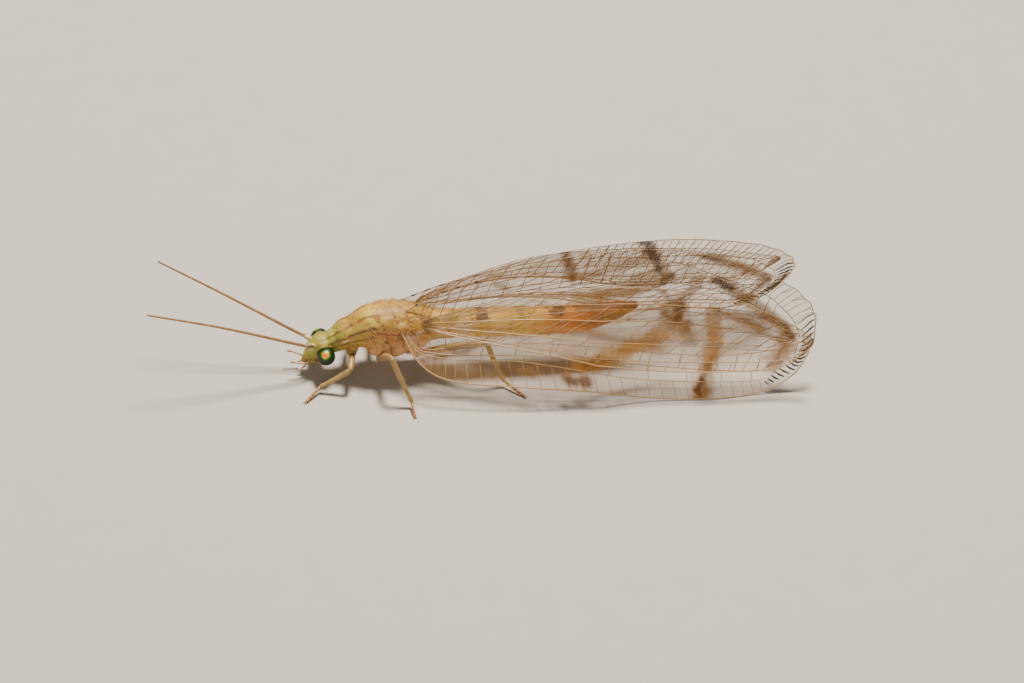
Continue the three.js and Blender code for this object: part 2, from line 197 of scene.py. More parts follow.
class Wire:
    """A socket in a material, with arithmetic."""

    def __init__(self, tree, socket=None):
        self.tree = tree
        self.socket = socket

    def node(self, kind, settings=None, inputs=None, out=0):
        made = self.tree.nodes.new(kind)
        for key, value in (settings or {}).items():
            setattr(made, key, value)
        for key, value in (inputs or {}).items():
            if isinstance(value, Wire):
                self.tree.links.new(value.socket, made.inputs[key])
            else:
                made.inputs[key].default_value = value
        return Wire(self.tree, made.outputs[out])

    def maths(self, operation, *values, clamp=False):
        inputs = dict(enumerate(values))
        return self.node("ShaderNodeMath", {"operation": operation, "use_clamp": clamp}, inputs)

    def __add__(self, other):
        return self.maths("ADD", self, other)

    def __sub__(self, other):
        return self.maths("SUBTRACT", self, other)

    def __rsub__(self, other):
        return self.maths("SUBTRACT", other, self)

    def __mul__(self, other):
        return self.maths("MULTIPLY", self, other)

    __radd__ = __add__
    __rmul__ = __mul__

    def clipped(self):
        return self.maths("ADD", self, 0.0, clamp=True)

    def step(self, start, end):
        """0 below start, 1 above end, smooth between."""
        return self.node("ShaderNodeMapRange", {"interpolation_type": "SMOOTHSTEP"},
                         {"Value": self, "From Min": start, "From Max": end})

    def between(self, rise, level, fall, end):
        """1 from level to fall, and 0 below rise and above end."""
        return self.step(rise, level) * (1 - self.step(fall, end))

    def bump_at(self, centre, width):
        """1 where the value is at centre, falling to 0 at a width from it."""
        return 1 - self.maths("ABSOLUTE", self - centre).step(0.0, width)

    def mix(self, first, second):
        """A colour from first to second, as this wire goes from 0 to 1."""
        first, second = ((*colour, 1) if isinstance(colour, tuple) else colour for colour in (first, second))
        return self.node("ShaderNodeMix", {"data_type": "RGBA"}, {0: self, 6: first, 7: second}, out=2)

    def ramp(self, start, end, first, last):
        """A straight change from first to last as this wire goes from start to end."""
        return self.node("ShaderNodeMapRange", None, {"Value": self, "From Min": start, "From Max": end,
                                                      "To Min": first, "To Max": last})

    def noise(self, scale, detail=3.0, roughness=0.55, stretch=(1, 1, 1)):
        place = self.node("ShaderNodeMapping", None, {"Vector": self, "Scale": stretch})
        return self.node("ShaderNodeTexNoise", None,
                         {"Vector": place, "Scale": scale, "Detail": detail, "Roughness": roughness})


def finish(name, **constants):
    """A new material, a wire to start from, its main shader and its object coordinates."""
    material = bpy.data.materials.new(name)
    material.use_nodes = True
    tree = material.node_tree
    shader = tree.nodes["Principled BSDF"]
    for key, value in constants.items():
        shader.inputs[key.replace("_", " ").title().replace("Ior", "IOR")].default_value = value
    start = Wire(tree)
    objects = start.node("ShaderNodeTexCoord", out=3)
    return material, start, shader, objects


def in_mm(start, objects):
    """Object coordinates in the insect's own millimetres, whole and split."""
    scaled = start.node("ShaderNodeVectorMath", {"operation": "SCALE"}, {0: objects, "Scale": 1 / MM})
    moved = start.node("ShaderNodeVectorMath", {"operation": "SUBTRACT"}, {0: scaled, 1: MOVE})
    split = start.tree.nodes.new("ShaderNodeSeparateXYZ")
    start.tree.links.new(moved.socket, split.inputs[0])
    return moved, *(Wire(start.tree, split.outputs[i]) for i in range(3))


def feed(shader, socket, wire):
    shader.id_data.links.new(wire.socket, shader.inputs[socket])


def dents(start, shader, height, strength, distance):
    """Raise or sink the surface a little by a bump node."""
    feed(shader, "Normal", start.node("ShaderNodeBump", None,
                                      {"Height": height, "Strength": strength, "Distance": distance * MM}))


print("shader helpers ready")

# %% [markdown]
# ## The trunk
# Thorax and abdomen are one row of rings. A disc is set at the neck and extruded from ring to ring,
# each time moved and scaled, as a potter would pull a tube. The numbers follow those of the solids.

# %% Trunk by extrusion
TRUNK = [(-2.30, 1.10, 0.27, 0.28), (-2.05, 1.26, 0.38, 0.42), (-1.80, 1.43, 0.47, 0.48),
         (-1.45, 1.68, 0.57, 0.58), (-1.05, 1.81, 0.70, 0.71), (-0.50, 1.82, 0.79, 0.82),
         (0.20, 1.84, 0.80, 0.83), (0.75, 1.83, 0.68, 0.73), (1.30, 1.82, 0.53, 0.59),
         (1.80, 1.80, 0.46, 0.51), (2.80, 1.78, 0.46, 0.51), (4.30, 1.76, 0.46, 0.51),
         (6.00, 1.76, 0.44, 0.49), (7.00, 1.86, 0.38, 0.42), (7.70, 2.04, 0.27, 0.30),
         (8.22, 2.22, 0.14, 0.15)]
TRUNK_RINGS = 151
ABDOMEN_FROM = 1.45
RING = 0.82


def trunk_section(x):
    _, z, w, h = at_x(TRUNK, x)
    if x > ABDOMEN_FROM:
        share = ((x - ABDOMEN_FROM) / RING) % 1
        swell = 1 + 0.045 * math.sin(math.pi * share) - 0.03 * (share < 0.12)
        return z, w * swell, h * swell
    return z, w, h


def pull_tube(name, stations, sides=32):
    """Extrude a disc through stations of x, height, half width, half height, all upright."""
    x, z, w, h = stations[0]
    deselect()
    bpy.ops.mesh.primitive_circle_add(vertices=sides, radius=1, fill_type="NGON", location=(x, 0, z),
                                      rotation=(0, math.pi / 2, 0))
    obj = bpy.context.object
    obj.name = name
    obj.scale = (h, w, 1)
    place_in_mesh(obj)
    bpy.ops.object.mode_set(mode="EDIT")
    bpy.ops.mesh.select_mode(type="FACE")
    bpy.ops.mesh.select_all(action="SELECT")
    for x2, z2, w2, h2 in stations[1:]:
        bpy.ops.mesh.extrude_region_move(TRANSFORM_OT_translate={"value": (x2 - x, 0, z2 - z)})
        bpy.ops.transform.resize(value=(1, w2 / w, h2 / h), center_override=(x2, 0, z2))
        x, z, w, h = x2, z2, w2, h2
    face_outwards(obj)
    return obj


trunk_length = TRUNK[-1][0] - TRUNK[0][0]
stations = [(x, *trunk_section(x)) for x in spread(TRUNK[0][0], trunk_length, TRUNK_RINGS)]
end_x, end_z, end_w, end_h = stations[-1]
for k in (0.35, 0.7, 0.95):
    round_off = math.sqrt(1 - k * k)
    stations.append((end_x + 0.16 * k, end_z + 0.03 * k, end_w * round_off, end_h * round_off))
trunk = pull_tube("trunk", stations)
print("trunk rings:", len(stations))

# %% [markdown]
# ## Lobes of the thorax, coxae and the head's masses
# The thorax is the box of the flight muscles: paired lobes above, slanting plates at the sides, a stout
# coxa above each leg. The head is a rounded capsule with a short snout. Each mass is a sphere,
# stretched and turned. Together they are melted into one skin by a voxel remesh and smoothed.

# %% Body masses
MASSES = [
    # centre, radii, turn about Y in degrees; y not 0 means one on each side
    ((-2.40, 0.00, 1.05), (0.44, 0.43, 0.46), 0), ((-2.68, 0.00, 1.00), (0.27, 0.33, 0.36), 20),
    ((-2.82, 0.00, 0.76), (0.19, 0.22, 0.25), 25), ((-2.93, 0.00, 0.54), (0.12, 0.16, 0.17), 30),
    ((-2.52, 0.24, 0.80), (0.25, 0.17, 0.27), 0), ((-2.70, 0.13, 0.55), (0.10, 0.09, 0.16), 20),
    ((-2.40, 0.23, 1.25), (0.30, 0.17, 0.19), 0), ((-2.77, 0.20, 1.20), (0.09, 0.09, 0.09), 0),
    ((-2.02, 0.00, 1.29), (0.42, 0.41, 0.40), -30), ((-1.64, 0.16, 1.66), (0.54, 0.36, 0.35), -33),
    ((-1.02, 0.22, 2.12), (0.36, 0.34, 0.34), -30), ((-0.40, 0.36, 2.16), (0.48, 0.36, 0.38), 0),
    ((0.25, 0.00, 2.38), (0.26, 0.30, 0.28), 10), ((0.80, 0.28, 2.10), (0.32, 0.28, 0.33), 12),
    ((-0.62, 0.44, 1.45), (0.46, 0.34, 0.54), -18), ((-0.05, 0.45, 1.42), (0.46, 0.33, 0.55), -18),
    ((0.48, 0.42, 1.45), (0.42, 0.31, 0.52), -18), ((0.86, 0.34, 1.55), (0.28, 0.26, 0.42), -18),
    ((0.02, 0.60, 2.20), (0.28, 0.22, 0.20), 0), ((0.84, 0.46, 2.08), (0.22, 0.18, 0.17), 0),
    ((-1.45, 0.30, 1.12), (0.21, 0.17, 0.30), 12), ((-0.50, 0.42, 1.04), (0.22, 0.19, 0.22), 10),
    ((0.72, 0.38, 1.10), (0.20, 0.18, 0.24), -22),
]


def sphere(centre, radii, turn=0.0, segments=24, rings=14):
    deselect()
    bpy.ops.mesh.primitive_uv_sphere_add(segments=segments, ring_count=rings, radius=1, location=centre)
    obj = bpy.context.object
    obj.scale = radii
    obj.rotation_euler = (0, math.radians(turn), 0)
    return place_in_mesh(obj)


masses = []
for (x, y, z), radii, turn in MASSES:
    for side in ((-1, 1) if y else (1,)):
        masses.append(sphere((x, y * side, z), radii, turn))
print("masses:", len(masses))

# %% [markdown]
# ## One skin
# The remesh turns the overlapping masses into a single closed surface of even small squares, and a
# smoothing pass melts the joins. The eyes' sockets are sunk a little so that the eyes sit in rims.

# %% Melt into one skin
VOXEL, SOFTENING = 0.03, 8
CHEEK = 0.2
SOCKET_RADIUS, SOCKET_DEPTH = 0.27, 0.06
RIM_RADIUS, RIM_WIDTH, RIM_HEIGHT, RIM_END = 0.31, 0.03, 0.03, 0.36
skin = join("skin", [trunk, *masses])
melt = skin.modifiers.new("melt", "REMESH")
melt.mode = "VOXEL"
melt.voxel_size = VOXEL
soften = skin.modifiers.new("soften", "SMOOTH")
soften.factor = 0.5
soften.iterations = SOFTENING
apply_all(skin)
print("skin before hairs:", len(skin.data.polygons), "faces")


def shape_sockets(obj):
    """Sink the sockets of the eyes and raise a rim round each."""
    for vertex in obj.data.vertices:
        x, y, z = vertex.co
        for side in SIDES.values():
            reach = math.hypot(x - EYE.x, z - EYE.z)
            if y * side > CHEEK and reach < RIM_END:
                rim = RIM_HEIGHT * math.exp(-((reach - RIM_RADIUS) / RIM_WIDTH) ** 2)
                vertex.co.y += side * (rim - (SOCKET_DEPTH if reach < SOCKET_RADIUS else 0))
    obj.data.update()


shape_sockets(skin)
print("sockets shaped")

# %% [markdown]
# ## The skin's finish
# The living insect is yellow-green on head and pronotum, with brown stripes along each side, peach
# on the thorax with brown seams, and pale yellow on the abdomen, orange towards a red-brown tip.
# Smooth steps along the body set the ground colours, and a list of layers paints the marks over them,
# with one painted highlight, a green glint on the abdomen.

# %% Body material
SPOTS = [
    # along the abdomen, height, length, strength
    (1.75, 2.18, 0.35, 0.7), (2.85, 2.2, 0.55, 1.0), (4.3, 2.26, 0.28, 0.6), (5.55, 2.24, 0.42, 0.95),
    (6.5, 2.3, 0.8, 0.7),
]


def body_material():
    material, start, shader, objects = finish("lacewing_body", roughness=0.42, coat_weight=0.06,
                                              coat_roughness=0.3, specular_ior_level=0.32)
    place, x, y, z = in_mm(start, objects)
    blotch = place.noise(2.2, 4.0)
    fine = place.noise(14.0, 3.0)
    streak = place.noise(5.0, 3.0, stretch=(0.35, 1, 1))
    side = y.maths("ABSOLUTE", y)
    axis = x.ramp(-2.6, -1.05, 0.98, 1.80)
    around = side.maths("ARCTAN2", side, z - axis) + (streak - 0.5) * 0.3

    head = blotch.step(0.35, 0.65).mix((0.42, 0.34, 0.05), (0.25, 0.235, 0.03))
    pronotum = streak.step(0.35, 0.65).mix((0.50, 0.265, 0.045), (0.34, 0.23, 0.03))
    thorax = blotch.step(0.35, 0.65).mix((0.54, 0.225, 0.06), (0.52, 0.27, 0.055))
    thorax = (z + (blotch - 0.5) * 0.5).step(1.95, 2.35).mix(thorax, (0.42, 0.23, 0.035))
    belly = blotch.mix((0.84, 0.53, 0.075), (0.70, 0.40, 0.045))
    colour = x.step(-2.1, -1.7).mix(head, pronotum)
    colour = (x - z * 0.3).step(-1.75, -1.35).mix(colour, thorax)
    colour = x.step(0.9, 1.5).mix(colour, belly)

    front = (x - z * 0.2).step(-2.75, -2.5) * (1 - (x - z * 0.3).step(-1.55, -1.2))
    stripes = around.bump_at(0.42, 0.15) * 0.9 + around.bump_at(1.02, 0.14) + around.bump_at(1.48, 0.14) * 0.9
    slant = x + z * 0.42 + blotch * 0.3 + streak * 0.35
    seams = slant.bump_at(0.18, 0.035) * 0.6
    for seam_at, seam_width in ((0.62, 0.04), (1.16, 0.04), (1.62, 0.05)):
        seams = seams + slant.bump_at(seam_at, seam_width)
    seams = (seams * x.between(-1.2, -0.9, 1.0, 1.3) * side.step(0.25, 0.5)).clipped()
    notum = (z - fine * 0.1 + x * 0.08).bump_at(1.95, 0.05) * x.between(-1.3, -1.0, 0.9, 1.2)
    seams = (seams + notum * side.step(0.3, 0.5)).clipped()
    mottle = place.noise(4.5, 4.0).step(0.50, 0.62) * x.between(-1.3, -0.9, 0.9, 1.4)

    spots = 0
    ragged = place.noise(3.2, 4.0)
    spot_run, spot_rise = x + (ragged - 0.5) * 1.1, z + (fine - 0.5) * 0.35
    for spot_x, spot_z, size, strength in SPOTS:
        spot = spot_run.bump_at(spot_x, size) * spot_rise.bump_at(spot_z, 0.2)
        spots = spots + (spot * 1.3 + ragged * 0.5 - 0.35).step(0.15, 0.5) * strength
    ring = (x - ABDOMEN_FROM).maths("PINGPONG", x - ABDOMEN_FROM, RING / 2)
    joint = (1 - ring.step(0.0, 0.05)) * x.step(1.6, 1.9)

    layers = [
        # the abdomen's orange half and dark tip, then the thorax's peach side and yellow front
        ((x + fine * 0.6).step(4.6, 6.0), (0.66, 0.17, 0.01)),
        ((x + fine * 0.5 + z * 0.7).step(7.5, 9.0), (0.20, 0.04, 0.008)),
        (z.bump_at(1.28, 0.55) * x.between(-1.2, -0.6, 0.8, 1.3) * 0.75, (0.80, 0.42, 0.19)),
        (x.bump_at(-1.0, 0.5) * z.step(2.0, 2.4) * 0.8, (0.62, 0.42, 0.05)),
        # brown stripes, a cream patch and green between, on the pronotum
        ((stripes * front * streak.step(0.25, 0.5)).clipped(), (0.11, 0.045, 0.013)),
        (around.bump_at(1.25, 0.2) * x.bump_at(-1.78, 0.16), (0.80, 0.62, 0.30)),
        (around.bump_at(0.7, 0.22) * front * 0.5, (0.36, 0.35, 0.05)),
        # mouth, cheek, brow and the pale place at the root of each feeler
        ((x.bump_at(-2.92, 0.28) * z.bump_at(0.52, 0.26)).step(0.2, 0.8) * 0.75, (0.30, 0.10, 0.04)),
        (x.bump_at(-2.66, 0.17) * z.bump_at(0.74, 0.16) * side.step(0.2, 0.34), (0.13, 0.04, 0.02)),
        (side.bump_at(0.2, 0.07) * x.bump_at(-2.45, 0.35) * z.step(1.1, 1.3) * 0.6, (0.20, 0.12, 0.03)),
        (x.bump_at(-2.80, 0.13) * z.bump_at(1.12, 0.16) * side.bump_at(0.2, 0.14) * 0.9, (0.78, 0.66, 0.36)),
        # seams, mottling and the line along the middle of the thorax
        (seams * 0.8, (0.20, 0.07, 0.02)),
        (mottle * 0.65, (0.27, 0.105, 0.03)),
        ((1 - side.step(0.0, 0.05)) * z.step(2.0, 2.2) * x.between(-1.9, -1.6, 1.0, 1.4) * 0.5,
         (0.36, 0.20, 0.05)),
        # the abdomen's dark spots, the joints of its rings and a green glint, which is a painted highlight
        (spots.clipped(), (0.03, 0.017, 0.01)),
        (joint * 0.4, (0.40, 0.22, 0.06)),
        # painted highlight: a green glint on top of the abdomen
        (x.bump_at(2.1, 0.5) * z.bump_at(2.02, 0.22) * fine.step(0.45, 0.6) * 0.6, (0.30, 0.42, 0.08)),
    ]
    for where, tint in layers:
        colour = where.mix(colour, tint)
    feed(shader, "Base Color", colour)
    feed(shader, "Roughness", fine * 0.25 + 0.32)
    grain = place.noise(60.0, 2.0)
    dents(start, shader, fine * 0.6 + grain * 0.4 + mottle * 0.5 - seams * 1.2 - joint * 0.6, 0.6, 0.04)
    return material


body_finish = body_material()
FLESH = ("head", "prothorax", "mesothorax", "metathorax", "abdomen_front", "abdomen_middle", "abdomen_tip")
print("skin finish made")

# %% [markdown]
# ## The eyes
# A compound eye is a dome of thousands of tiny lenses. Here the dome is a sphere flattened sideways.
# Its finish is dark metallic green, with a fiery spot of painted reflection, ringed in gold and green,
# where the lenses look up and outwards, and the lenses are a fine honeycomb of bumps.

# %% Eyes
DOME = Vector((EYE.x, EYE.y - 0.03, EYE.z))
DOME_RADII = Vector((0.305, 0.315, 0.305))
# the centre of the painted reflection on each eye
PAINTED_REFLECTION_CENTRE = DOME + 0.31 * Vector((-0.34, 0.66, 0.74)).normalized()


def eye_material():
    material, start, shader, objects = finish("compound_eye", metallic=0.2, roughness=0.3, coat_weight=0.16,
                                              coat_roughness=0.12, specular_ior_level=0.3)
    place, x, y, z = in_mm(start, objects)
    side = y.maths("ABSOLUTE", y)
    wobble = place.noise(7.0, 2.0) * 0.05
    dx, dy, dz = x - PAINTED_REFLECTION_CENTRE.x, side - PAINTED_REFLECTION_CENTRE.y, z - PAINTED_REFLECTION_CENTRE.z
    reach = dx.maths("SQRT", dx * dx + dy * dy + dz * dz) + wobble
    # painted reflection: an orange spot ringed in gold, then green, on the eye's own dark green and
    # near-black rim
    colour = reach.step(0.15, 0.22).mix((0.14, 0.26, 0.02), (0.012, 0.045, 0.008))
    colour = reach.step(0.22, 0.30).mix(colour, (0.004, 0.016, 0.008))
    colour = (1 - reach.step(0.125, 0.165)).mix(colour, (0.55, 0.42, 0.03))
    colour = (1 - reach.step(0.09, 0.13)).mix(colour, (1.0, 0.15, 0.02))
    feed(shader, "Base Color", colour)
    lenses = start.node("ShaderNodeTexVoronoi", {"feature": "F1"}, {"Vector": place, "Scale": 42.0})
    dents(start, shader, 1 - lenses, 0.35, 0.012)
    return material


eye_finish = eye_material()
for side_name, side in SIDES.items():
    dome = sphere((DOME.x, side * DOME.y, DOME.z), DOME_RADII, segments=64, rings=40)
    dome.name = f"eye_dome_{side_name}"
    settle(dome, eye_finish, [f"eye_{side_name}"])

# %% [markdown]
# ## Tubes along a path
# Feelers, legs, palps and wing veins are all tapered tubes. A curve with a round bevel and a radius at
# each point is the quickest way to draw one, and it is then turned into a mesh with closed ends.

# %% Tube helper
SAME_POINT = 0.0002


def tubes(name, paths, sides=2):
    """Mesh tubes along paths, each a list of (point, radius)."""
    curve = bpy.data.curves.new(name, "CURVE")
    curve.dimensions = "3D"
    curve.bevel_depth = 1.0
    curve.bevel_resolution = sides
    curve.use_fill_caps = True
    for path in paths:
        spline = curve.splines.new("POLY")
        spline.points.add(len(path) - 1)
        for point, (co, radius) in zip(spline.points, path):
            point.co = (*co, 1)
            point.radius = radius
    obj = bpy.data.objects.new(name, curve)
    bpy.context.collection.objects.link(obj)
    only(obj)
    bpy.ops.object.convert(target="MESH")
    obj = bpy.context.object
    bpy.ops.object.mode_set(mode="EDIT")
    bpy.ops.mesh.select_all(action="SELECT")
    bpy.ops.mesh.remove_doubles(threshold=SAME_POINT)
    face_outwards(obj)
    if obj.data.uv_layers:
        obj.data.uv_layers.remove(obj.data.uv_layers.active)
    return obj


def smooth_path(knots, count):
    """Points and radii along smooth knots of x, y, z, radius."""
    rows = [along(knots, t) for t in spread(0, 1, count)]
    return [(Vector(row[:3]), row[3]) for row in rows]


# %% [markdown]
# ## Feelers
# A feeler has a thick first joint, a small second one, and a whip of some seventy short joints. Each
# joint is a little narrower at its base, so the radius waves along the tube.

# %% Feelers
FEELERS = {
    "left": [(-2.74, -0.17, 1.20), (-3.02, -0.27, 1.30), (-3.5, -0.34, 1.48), (-6.2, -0.6, 2.52),
             (-8.8, -0.75, 3.30)],
    "right": [(-2.74, 0.17, 1.20), (-3.02, 0.30, 1.30), (-3.5, 0.40, 1.53), (-5.9, 1.0, 2.72),
              (-8.0, 1.6, 3.66)],
}
JOINTS = 72
FIRST_END, SECOND_END = 0.30, 0.40


def feeler_path(knots):
    points = [Vector(along(knots, t)) for t in spread(0, 1, 400)]
    length = [0.0]
    for a, b in zip(points, points[1:]):
        length.append(length[-1] + (b - a).length)
    path = []
    for point, run in zip(points, length):
        if run < FIRST_END:
            radius = 0.058 + 0.036 * math.sin(math.pi * min(run / FIRST_END, 1)) ** 0.7
        elif run < SECOND_END:
            radius = 0.05 + 0.018 * math.sin(math.pi * (run - FIRST_END) / 0.10)
        else:
            share = (run - SECOND_END) / (length[-1] - SECOND_END)
            joint = (share * JOINTS) % 1
            radius = (0.060 - 0.026 * share) * (0.82 + 0.2 * math.sin(math.pi * joint) ** 0.6)
        path.append((point, radius))
    return path


def horn_material(name, pale, dark, joints=0.0):
    """A horny finish for feelers, legs and mouthparts, darker in flecks."""
    material, start, shader, objects = finish(name, roughness=0.4, coat_weight=0.15, coat_roughness=0.25)
    place, x, y, z = in_mm(start, objects)
    fleck = place.noise(5.0, 4.0).step(0.35, 0.7)
    colour = fleck.mix(pale, dark)
    if joints:
        bands = (place.noise(joints, 1.0, stretch=(1, 0.1, 0.1))).step(0.5, 0.62)
        colour = (bands * 0.5).mix(colour, dark)
    feed(shader, "Base Color", colour)
    feed(shader, "Roughness", fleck * 0.2 + 0.32)
    dents(start, shader, place.noise(40.0, 2.0), 0.25, 0.01)
    return material, shader, colour, (x, y, z)


def feeler_material():
    material, shader, colour, (x, y, z) = horn_material(
        "feeler_horn", (0.36, 0.20, 0.08), (0.22, 0.11, 0.04), joints=9.0)
    side = y.maths("ABSOLUTE", y)
    base = x.step(-3.15, -2.95)
    colour = base.mix(colour, (0.58, 0.46, 0.22))
    stripe = base * side.step(0.24, 0.27) * z.step(1.22, 1.26)
    colour = (stripe * 0.9).mix(colour, (0.12, 0.05, 0.03))
    feed(shader, "Base Color", colour)
    return material


feeler_finish = feeler_material()
for side_name, knots in FEELERS.items():
    feeler = tubes(f"feeler_{side_name}", [feeler_path(knots)], sides=3)
    settle(feeler, feeler_finish, [f"antenna_{side_name}"])

# %% [markdown]
# ## Legs
# Each leg has a thigh, a thinner shin and a foot of five short joints with two claws. Radii swell
# before the knee and at the ankle. The feet lie on the floor.

# %% Legs
LEGS = {
    "left": {
        "fore": [(-1.45, 0.38, 0.96), (-1.70, 1.20, 0.92), (-2.62, 1.15, 0.25), (-3.20, 1.68, 0.05)],
        "mid": [(-0.52, 0.52, 0.86), (-0.50, 1.68, 1.76), (0.29, 2.15, 0.25), (0.29, 2.69, 0.05)],
        "hind": [(0.72, 0.45, 0.92), (2.96, 1.00, 1.66), (3.66, 1.27, 0.25), (4.25, 1.89, 0.05)],
    },
    "right": {
        "fore": [(-1.45, 0.38, 0.96), (-1.12, 1.20, 1.22), (-0.64, 1.72, 0.27), (-0.40, 2.22, 0.05)],
        "mid": [(-0.52, 0.52, 0.86), (-0.28, 1.62, 1.32), (0.42, 2.28, 0.26), (0.56, 2.70, 0.05)],
        "hind": [(0.72, 0.45, 0.92), (2.90, 0.95, 1.46), (3.66, 1.27, 0.25), (4.25, 1.89, 0.05)],
    },
}
FOOT_JOINTS = 5


def leg_paths(hip, knee, ankle, toe):
    hip, knee, ankle, toe = map(Vector, (hip, knee, ankle, toe))
    sag = Vector((0, 0, 0.06))
    thigh = [(hip + Vector((0, 0, 0.18)), 0.13), (hip, 0.135), (hip.lerp(knee, 0.08), 0.10),
             (hip.lerp(knee, 0.2) + sag * 0.5, 0.118), (hip.lerp(knee, 0.5) + sag, 0.130),
             (hip.lerp(knee, 0.85) + sag * 0.5, 0.098), (knee, 0.082)]
    shin = [(knee, 0.078), (knee.lerp(ankle, 0.08), 0.090), (knee.lerp(ankle, 0.4) - sag * 0.5, 0.086),
            (knee.lerp(ankle, 0.8) - sag * 0.3, 0.074), (knee.lerp(ankle, 0.96), 0.080), (ankle, 0.055)]
    paths = [smooth_path([(*p, r) for p, r in part], 40) for part in (thigh, shin)]
    for k in range(FOOT_JOINTS):
        start, end = ankle.lerp(toe, k / FOOT_JOINTS), ankle.lerp(toe, (k + 0.96) / FOOT_JOINTS)
        joint = [(start, 0.044), (start.lerp(end, 0.3), 0.048), (start.lerp(end, 0.8), 0.053), (end, 0.042)]
        paths.append([(Vector((p.x, p.y, max(p.z, r))), r) for p, r in joint])
    ahead = (toe - ankle).normalized()
    across = ahead.cross(Vector((0, 0, 1))).normalized()
    for side in (-1, 1):
        bend = toe + ahead * 0.07 + across * side * 0.05 + Vector((0, 0, 0.02))
        paths.append([(toe, 0.026), (bend, 0.018), (bend + ahead * 0.05 - Vector((0, 0, 0.045)), 0.005)])
    return paths


def leg_material():
    material, shader, colour, (x, y, z) = horn_material(
        "leg_horn", (0.35, 0.225, 0.075), (0.28, 0.17, 0.05))
    foot = 1 - z.step(0.10, 0.30)
    colour = (foot * 0.95).mix(colour, (0.34, 0.125, 0.03))
    feed(shader, "Base Color", colour)
    return material


leg_finish = leg_material()
for side_name, side in SIDES.items():
    for pair, joints in LEGS[side_name].items():
        placed = [(x, y * side, z) for x, y, z in joints]
        leg = tubes(f"{pair}_shank_{side_name}", leg_paths(*placed), sides=4)
        settle(leg, leg_finish, [f"{pair}_leg_{side_name}"])

# %% [markdown]
# ## Palps
# Two pairs of jointed palps hang beside the mouth and feel the food. They are pale, with
# orange-brown last joints.

# %% Palps
PALPS = [
    [(-2.80, 0.13, 0.58), (-2.95, 0.22, 0.50), (-3.15, 0.28, 0.55), (-3.32, 0.30, 0.62), (-3.52, 0.30, 0.66)],
    [(-2.86, 0.10, 0.46), (-2.96, 0.16, 0.34), (-3.06, 0.18, 0.26), (-3.18, 0.18, 0.20)],
]


def palp_paths(knots, radius):
    paths = []
    for k, (a, b) in enumerate(zip(knots, knots[1:])):
        a, b = Vector(a), Vector(b)
        r = radius * (1 - 0.1 * k)
        paths.append([(a, r * 0.6), (a.lerp(b, 0.35), r), (a.lerp(b, 0.8), r), (b, r * 0.55)])
    return paths


def palp_material():
    material, shader, colour, (x, y, z) = horn_material(
        "palp_horn", (0.62, 0.48, 0.24), (0.48, 0.32, 0.14))
    colour = (1 - x.step(-3.42, -3.32)).mix(colour, (0.42, 0.17, 0.05))
    feed(shader, "Base Color", colour)
    return material


palp_finish = palp_material()
for side_name, side in SIDES.items():
    paths = []
    for knots, radius in zip(PALPS, (0.05, 0.042)):
        paths += palp_paths([(x, y * side, z) for x, y, z in knots], radius)
    palps = tubes(f"palps_{side_name}", paths, sides=3)
    settle(palps, palp_finish, ())

# %% [markdown]
# ## The wings' surface
# A closed wing is one bent sheet between two edges: the hind edge up at the ridge and the front edge
# down at the floor. A point of the wing is given by u, from root to tip, and v, from hind edge to front
# edge. Everything on the wing, membrane, veins and hairs, is placed by these two numbers.

# %% Wing surface
HIND_EDGE = [(0.20, 0.30, 2.64), (1.25, 0.20, 3.22), (2.7, 0.17, 3.72), (4.6, 0.16, 4.32),
             (6.9, 0.17, 4.69), (9.2, 0.29, 4.74), (11.1, 0.54, 4.40), (12.75, 0.88, 3.84),
             (13.85, 1.2, 3.1), (14.2, 1.42, 2.45)]
FRONT_EDGE = [(0.0, 0.72, 2.12), (0.55, 1.62, 1.42), (1.6, 2.08, 1.0), (3.9, 2.40, 0.86),
              (6.3, 2.50, 0.62), (8.6, 2.38, 0.12), (10.7, 2.46, 0.05), (12.4, 2.28, 0.08),
              (13.55, 2.1, 0.68), (14.15, 1.76, 1.72)]
BULGE = 0.42
PLEATS, PLEAT_DEPTH = 7, 0.022
HIND_DEPTH = 0.62
HIND_HINGE = Vector((0.72, 0.52, 2.22))


def wing_point(u, v, depth=0.0):
    hind, front = Vector(along(HIND_EDGE, u)), Vector(along(FRONT_EDGE, u))
    chord = front - hind
    out = -Vector((1, 0, 0)).cross(chord).normalized()
    bulge = BULGE * 4 * v * (1 - v) * math.sin(math.pi * min(1, 0.12 + u)) ** 0.6 * min(1, 0.2 + u * 12)
    wave = 0.045 * math.sin(u * 88) * max(0, u - 0.5) * 2 * max(0, 1 - v) ** 10
    return hind + chord * (v + wave / chord.length) + out * (bulge - depth)


def within(u, v):
    """The nearest place that is on the wing."""
    return min(max(u, 0), 1), min(max(v, 0), 1)


def on_sheet(surface, u, v, side):
    """A point of a left or right wing, on the slight pleats that follow its veins."""
    point = surface(u, v)
    pleat = PLEAT_DEPTH * math.sin(v * 2 * math.pi * PLEATS) * math.sin(math.pi * v) * min(1, (1 - u) * 6)
    return Vector((point.x, (point.y + pleat) * side, point.z))


def hind_point(s, t):
    """A hind wing lies a little inside the forewing, is narrower and shorter, and ends at its hinge."""
    u = 0.12 + 0.81 * s
    opening = math.sqrt(min(1, 0.1 + s * 2.2)) * math.sqrt(max(0.04, 1 - s ** 5))
    middle = 0.36 + (0.525 - 0.36) * min(1, s * 2.5)
    opened = wing_point(u, middle + (t - 0.5) * 0.56 * opening, HIND_DEPTH)
    hinge = HIND_HINGE + Vector((0.25 * s, 0, 0.28 * (0.5 - t)))
    share = min(1, s / 0.3)
    return hinge.lerp(opened, share * share * (3 - 2 * share))


print("forewing length", round((wing_point(1, 0.5) - wing_point(0, 0.5)).length, 2), "mm")

# %% [markdown]
# ## Where the veins run
# Chrysopid veins are a ladder: the costal field with its rungs along the front edge, the radius, its
# sector with a dozen slanting branches, two long zigzag veins behind, and forked veinlets to the
# margin. Each long vein is a few knots of u and v, and the rungs between are made by loops.

